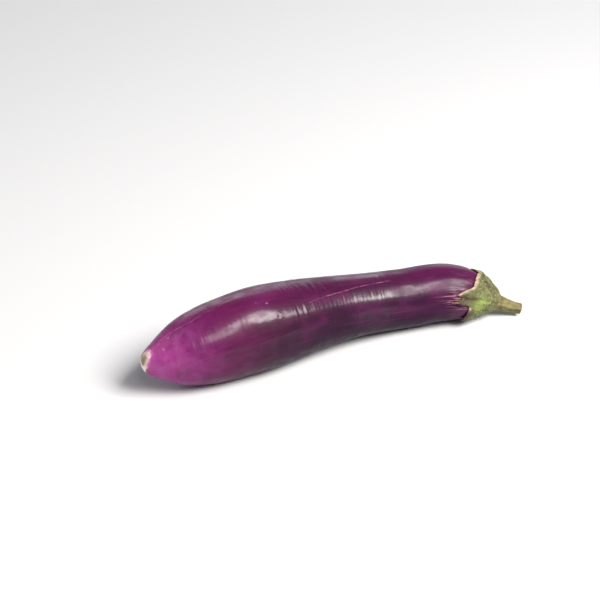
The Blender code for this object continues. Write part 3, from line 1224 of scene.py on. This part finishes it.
    def _curl(self, x: np.ndarray, columns: CalyxColumns) -> np.ndarray:
        """How far the sepals stand off the fruit: most at their tips, none a curl's length in."""
        outwards = np.clip(1 - (x - columns.edge) / self.curl_length, 0, None)
        return columns.lift * columns.near * outwards**2

    def _inner(self, x: np.ndarray, columns: CalyxColumns) -> np.ndarray:
        """The radius of the face that lies on the fruit, at these places in each column."""
        skin = (self.form.radius(x) + self.gap) * self.form.roundness(x, columns.angle)
        return skin + self._curl(x, columns)

    def _outer(self, x: np.ndarray, columns: CalyxColumns) -> tuple[np.ndarray, np.ndarray]:
        """The radius of the face that shows, with its ribs, furrows and warts.

        Args:
            x: places along the fruit in each column.
            columns: the columns.

        Returns:
            Radii in metres, and how strong a wart is at each point, from 0 to 1.
        """
        angle = columns.angle
        inwards = np.clip((x - columns.edge) / self.edge_width, 0, 1)
        skin = self.form.radius(x) + self.gap + self.thickness
        cap = through(*zip(*self.cap_outline), np.maximum(x, self.cap_outline[0][0]))
        base = np.where(x > self.cap_outline[0][0], np.maximum(skin, cap), skin)
        # The section loses the fruit's waves over the last 20 mm.
        to_round = np.clip((self.collar_x - x) / (20 * MM), 0, 1)
        base = base * (1 + (self.form.roundness(x, angle) - 1) * to_round)
        thin_edge = (self.thickness - self.edge_thickness) * (1 - inwards) ** 2
        place = unbend(x, angle, base)
        lumps = self.lump_height * grain(place, self.lump_cell, 1.0)
        wrinkles = self.wrinkle_height * grain(place, self.wrinkle_cell, 2.0)
        warts = rise(0.12, 0.5, grain(place, self.wart_cell, 3.0))
        warts = warts * rise(0.210, 0.215, x) * rise(0.2265, 0.222, x)
        ribs = [hump(turn_from(angle, tip), self.rib_turn) for tip, _, _ in self.sepals]
        knob_x, knob_angle = self.knob
        round_it = self.radius_at_knob * np.radians(turn_from(angle, knob_angle))
        from_knob = np.hypot(x - knob_x, round_it)
        relief = lumps + wrinkles + self.rib_height * np.max(ribs, axis=0)
        relief = (relief + self.wart_height * warts) * inwards
        relief = relief + self.knob_height * hump(from_knob, self.knob_width)
        relief = relief - self.furrow_depth * self._furrow(x, angle)
        to_collar = rise(self.collar_x - 1 * MM, self.collar_x - 9 * MM, x)
        radius = base - thin_edge + relief * to_collar + self._curl(x, columns)
        tucked = self.collar_tuck * rise(-0.7 * MM, 0.0, x - self.collar_x)
        stalk = self.stalk.radius(x, angle) + self.collar_rim - tucked
        # The last 5 mm run into the stalk.
        merged = rise(self.collar_x - 5.0 * MM, self.collar_x - 0.8 * MM, x)
        return radius * (1 - merged) + stalk * merged, warts

    def _furrow(self, x: np.ndarray, angle: np.ndarray) -> np.ndarray:
        """1 in the dark crease that goes on from the notch between the two front sepals."""
        return self.furrow.over(angle) * rise(0.2160, 0.2110, x)

    def _tints(
        self, x: np.ndarray, radius: np.ndarray, columns: CalyxColumns
    ) -> dict[str, np.ndarray]:
        """Where the tissue is fresh, dried, corky or like the stalk, with painted light on the edge
        and shade in the furrow.

        Args:
            x: places along the fruit in each column.
            radius: distances from the spine.
            columns: the columns.

        Returns:
            The values to store, by name.
        """
        angle = columns.angle
        place = unbend(x, angle, radius)
        # The tones end unevenly, by half a millimetre.
        from_edge = np.abs(x - columns.edge) + 0.5 * MM * grain(place, 2 * MM, 7.0)
        upper_front, front_tip = self.upper_front.over(angle), self.front_tip.over(angle)
        # The edge's cream is strongest on the upper front and the back tip: partly painted light.
        cream_and_lit_round = 1.1 * upper_front + self.back_tip.over(angle) + 0.6 * front_tip + 0.1
        cream_and_lit_edge = rise((2.1 + 1.2 * front_tip) * MM, 0.8 * MM, from_edge) * np.clip(cream_and_lit_round, 0, 1)
        dry_tip = self.long_tip.over(angle) * rise(0.2020, 0.1985, x)
        curled = self.curled.over(angle) * rise(2.6 * MM, 0.8 * MM, from_edge)
        dried_and_crease_shade = self.low_front.over(angle) * rise(4.5 * MM, 1 * MM, from_edge)
        # The furrow is painted dark brown too: painted shade in the crease.
        dried_and_crease_shade = dried_and_crease_shade + 0.75 * self._furrow(x, angle)
        lower_side = (1 - upper_front) * rise(0.0, 60.0, turn_from(angle, 0))
        browned = 0.35 * rise(3.5 * MM, 0.5 * MM, from_edge) * lower_side
        return {
            "unbent": place,
            "cream_and_lit_edge": np.maximum(np.maximum(cream_and_lit_edge, curled), dry_tip),
            "dried_and_crease_shade": np.clip(dried_and_crease_shade + browned, 0, 1),
            "fresh": self.fresh.over(x, angle),
            "stalky": rise(self.collar_x - 10 * MM, self.collar_x - 2.5 * MM, x),
        }


@dataclass
class Stem:
    """The cut stalk, ridged and slightly twisted."""

    spine: Spine
    form: StemForm
    # How far the stalk runs on inside the collar, and the share of its radius that it has there.
    inside: float = 2.5 * MM
    root_share: float = 0.75
    pith_depth: float = 0.6 * MM
    lip: float = 1.1 * MM
    rows: int = 80
    columns: int = 120
    cut_rows: int = 14

    def build(self) -> bpy.types.Object:
        """Builds the bark, the rounded lip of the cut and the cut face.

        Returns:
            The stem's object.
        """
        form = self.form
        start_x = form.start_x - self.inside
        angle = np.linspace(0, math.tau, self.columns, endpoint=False)[None, :]
        x = np.linspace(start_x, form.end_x, self.rows)[:, None]
        showing = rise(start_x, form.start_x - 0.6 * MM, x)
        radius = form.radius(x, angle) * (self.root_share + (1 - self.root_share) * showing)
        towards_cut = np.clip((x - form.end_x + self.lip) / self.lip, 0, 1)
        radius = radius - self.lip * (1 - np.sqrt(1 - 0.98 * towards_cut**2))
        inwards = np.linspace(1, 0, self.cut_rows + 1)[1:-1, None]
        cut_radius = radius[-1] * inwards
        cut_x = form.end_x - self.pith_depth * rise(0.75, 0.30, inwards) + 0 * cut_radius
        shape = (self.rows + self.cut_rows - 1, self.columns)
        all_x = np.concatenate([np.broadcast_to(x, radius.shape), cut_x])
        all_angle = np.broadcast_to(angle, shape)
        all_radius = np.concatenate([radius, cut_radius])
        bark, face = np.ones(radius.shape), np.ones(cut_x.shape)
        values = {
            "unbent": unbend(all_x, all_angle, all_radius),
            "cut": np.concatenate([bark * rise(0.75, 1.0, towards_cut), face]),
            "pith": np.concatenate([0 * bark, face * rise(0.5, 0.25, inwards)]),
            "ridge": np.concatenate([form.ridge(x, angle), 0 * face]),
        }
        rings = self.spine.at_angle(all_x, all_angle, all_radius)
        ends = self.spine.points(np.array((start_x, form.end_x - self.pith_depth)))
        return RingMesh("stem_stalk", rings, ends[0], ends[1], values).build()


@dataclass(frozen=True)
class Softbox:
    """A rectangular softbox that faces the fruit."""

    name: str
    azimuth: float
    elevation: float
    distance: float
    size: tuple[float, float]
    radiance: float
    colour: tuple[float, float, float] = (1.0, 1.0, 1.0)

    def hang(self) -> None:
        """Hangs the light; its power is what gives its cloth this radiance."""
        light = bpy.data.lights.new(self.name, "AREA")
        light.shape = "RECTANGLE"
        light.size, light.size_y = self.size
        light.energy = self.radiance * self.size[0] * self.size[1] * math.pi
        light.color = self.colour
        hung = bpy.data.objects.new(self.name, light)
        bpy.context.scene.collection.objects.link(hung)
        direction = towards(self.azimuth, self.elevation)
        hung.location = direction * self.distance + Vector((0, 0, SPINE_HEIGHT))
        hung.rotation_euler = direction.to_track_quat("Z", "Y").to_euler()


def towards(azimuth: float, elevation: float) -> Vector:
    """The direction with this azimuth, from the front towards the stem, and this elevation."""
    a, e = math.radians(azimuth), math.radians(elevation)
    return Vector((math.sin(a) * math.cos(e), -math.cos(a) * math.cos(e), math.sin(e)))


@dataclass
class Studio:
    """The table, the soft lights and the camera."""

    azimuth: float = -26.96
    elevation: float = 32.0
    distance: float = 0.849
    aim: tuple[float, float, float] = (0.1075, 0.0, SPINE_HEIGHT)
    # How far the aim sits from the middle of the picture, to the right and up, in pixels.
    slide_px: tuple[float, float] = (12.1, -21.1)
    lens_mm: float = 85.0
    sensor_mm: float = 36.0
    picture_px: int = 600
    table_half: float = 4.0
    surroundings: float = 0.15
    softboxes: tuple[Softbox, ...] = (
        Softbox("key_softbox", 33, 48, 1.6, (0.82, 0.82), 22.5, (1.0, 0.93, 0.90)),
        Softbox("tip_softbox", 0, 50, 1.5, (0.9, 0.5), 5.5, (1.0, 0.93, 0.90)),
        Softbox("back_softbox", 152, 16, 1.4, (1.6, 0.6), 1.5, (0.92, 0.96, 1.0)),
        Softbox("left_softbox", -118, 22, 1.3, (1.2, 0.9), 0.8),
    )

    def build(self) -> None:
        """Sets up the table, the surroundings, the lights and the camera."""
        self._table()
        world = bpy.data.worlds.new("white_surroundings")
        world.use_nodes = True
        background = world.node_tree.nodes["Background"]
        background.inputs["Color"].default_value = (1, 1, 1, 1)
        background.inputs["Strength"].default_value = self.surroundings
        bpy.context.scene.world = world
        for softbox in self.softboxes:
            softbox.hang()
        self._camera()
        bpy.context.scene.view_settings.view_transform = "Standard"

    def _table(self) -> None:
        """A plain pale table top."""
        bm = bmesh.new()
        bmesh.ops.create_grid(bm, x_segments=1, y_segments=1, size=self.table_half)
        mesh = bpy.data.meshes.new("table")
        bm.to_mesh(mesh)
        bm.free()
        table = bpy.data.objects.new("table", mesh)
        bpy.context.scene.collection.objects.link(table)
        mesh.materials.append(TablePaint().build())
        table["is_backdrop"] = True

    def _camera(self) -> None:
        """The camera, at the photograph's viewing angle."""
        back = towards(self.azimuth, self.elevation)
        a = math.radians(self.azimuth)
        right = Vector((math.cos(a), math.sin(a), 0))
        up = back.cross(right)
        lens = bpy.data.cameras.new("camera")
        lens.lens, lens.sensor_width = self.lens_mm, self.sensor_mm
        camera = bpy.data.objects.new("camera", lens)
        bpy.context.scene.collection.objects.link(camera)
        per_px = self.distance * self.sensor_mm / self.lens_mm / self.picture_px
        place = Vector(self.aim) + Vector(FOOTPRINT_SHIFT) + back * self.distance
        place -= right * (self.slide_px[0] * per_px) + up * (self.slide_px[1] * per_px)
        turn = Matrix((right, up, back)).transposed().to_4x4()
        camera.matrix_world = Matrix.Translation(place) @ turn
        bpy.context.scene.camera = camera


def put_on(piece: bpy.types.Object, node: str, coat: Coat, material: bpy.types.Material) -> None:
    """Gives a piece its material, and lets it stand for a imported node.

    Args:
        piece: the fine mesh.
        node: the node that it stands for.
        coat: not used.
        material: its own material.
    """
    piece.data.materials.append(material)
    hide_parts(node)
    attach(piece, "root")
    LOG.info("%s stands for %s with %d points", piece.name, node, len(piece.data.vertices))


def main() -> None:
    """Builds the eggplant's pieces, then the studio, and measures the boxes round the solids and the
    fine pieces.
    """
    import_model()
    solid_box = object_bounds()
    spine, stalk = Spine(), StemForm()
    form = FruitForm(spine)
    calyx = Calyx(form, stalk)
    put_on(Fruit(form, calyx.edge()).build(), "fruit", Coat.SKIN, WaxedSkin().build())
    put_on(calyx.build(), "calyx", Coat.CALYX, LeatheryCalyx().build())
    put_on(Stem(spine, stalk).build(), "stem", Coat.STEM, FibrousStem().build())
    Studio().build()
    boxes = {"solids": solid_box, "visual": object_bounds()}
    {name: [list(corner) for corner in box] for name, box in boxes.items()}


if __name__ == "__main__":
    logging.basicConfig(level=logging.INFO)
    main()
